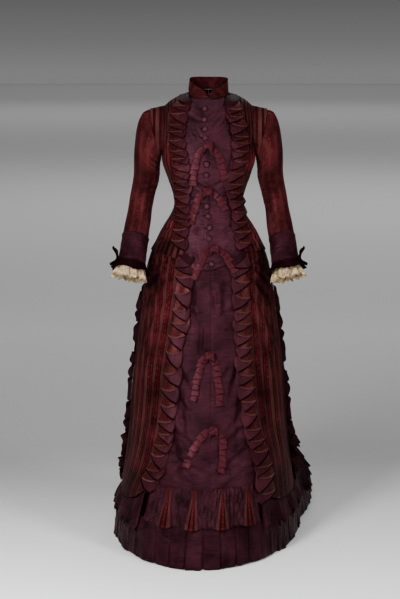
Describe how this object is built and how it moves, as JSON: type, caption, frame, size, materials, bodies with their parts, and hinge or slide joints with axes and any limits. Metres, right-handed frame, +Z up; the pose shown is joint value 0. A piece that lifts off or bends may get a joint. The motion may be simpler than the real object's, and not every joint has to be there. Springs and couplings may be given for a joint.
{
  "type": "wedding dress",
  "caption": "Two-piece silk wedding dress of about 1880 with basque bodice, buttoned plum front, frills, ribbon bows, cuffs and a trained skirt with pleated hem.",
  "frame": {"origin": "middle of the neck seam, where the wearer's neck carries the dress, 1.33 m above the floor that the hem touches", "axes": "+Z up, -Y out of the buttoned front, +X towards the viewer's right of someone who faces the front; the train runs back along +Y"},
  "size_m": [0.6445, 1.2983, 1.39],
  "materials": {
    "plum_silk": "soft lustre plain silk",
    "striped_silk": "satin and velvet stripes",
    "figured_silk": "small figured silk",
    "ribbon": "ribbed silk ribbon",
    "lace": "cream lace",
    "covered_button": "silk covered button"
  },
  "bodies": {
    "root": {"vest_left": "plum_silk", "vest_right": "plum_silk", "bodice_front_left": "striped_silk", "bodice_front_right": "striped_silk", "bodice_back_left": "striped_silk", "bodice_back_right": "striped_silk", "collar": "figured_silk", "sleeve_top_left": "striped_silk", "sleeve_under_left": "striped_silk", "sleeve_top_right": "striped_silk", "sleeve_under_right": "striped_silk", "cuff_left": "plum_silk", "cuff_right": "plum_silk", "cuff_frill_left": "plum_silk", "cuff_frill_right": "plum_silk", "lace_left": "lace", "lace_right": "lace", "cuff_bow_left": "plum_silk", "cuff_bow_right": "plum_silk", "skirt_front": "plum_silk", "skirt_side_left": "striped_silk", "skirt_side_right": "striped_silk", "skirt_back_left": "striped_silk", "skirt_back_right": "striped_silk", "shirred_flounce": "plum_silk", "hem_flounce_front": "plum_silk", "hem_flounce_left": "plum_silk", "hem_flounce_right": "plum_silk", "hem_flounce_back": "plum_silk", "bodice_frill_left": "figured_silk", "bodice_frill_right": "figured_silk", "skirt_frill_left": "figured_silk", "skirt_frill_right": "figured_silk", "side_ruffle_left": "plum_silk", "side_ruffle_right": "plum_silk", "button_01": "covered_button", "button_02": "covered_button", "button_03": "covered_button", "button_04": "covered_button", "button_05": "covered_button", "button_06": "covered_button", "button_07": "covered_button", "button_08": "covered_button", "button_09": "covered_button", "button_10": "covered_button", "button_11": "covered_button", "bow_chest_ribbon": "ribbon", "bow_chest_knot": "ribbon", "bow_waist_ribbon": "ribbon", "bow_waist_knot": "ribbon", "bow_hip_ribbon": "ribbon", "bow_hip_knot": "ribbon", "bow_skirt_ribbon": "ribbon", "bow_skirt_knot": "ribbon", "bow_hem_ribbon": "ribbon", "bow_hem_knot": "ribbon"}
  },
  "joints": []
}
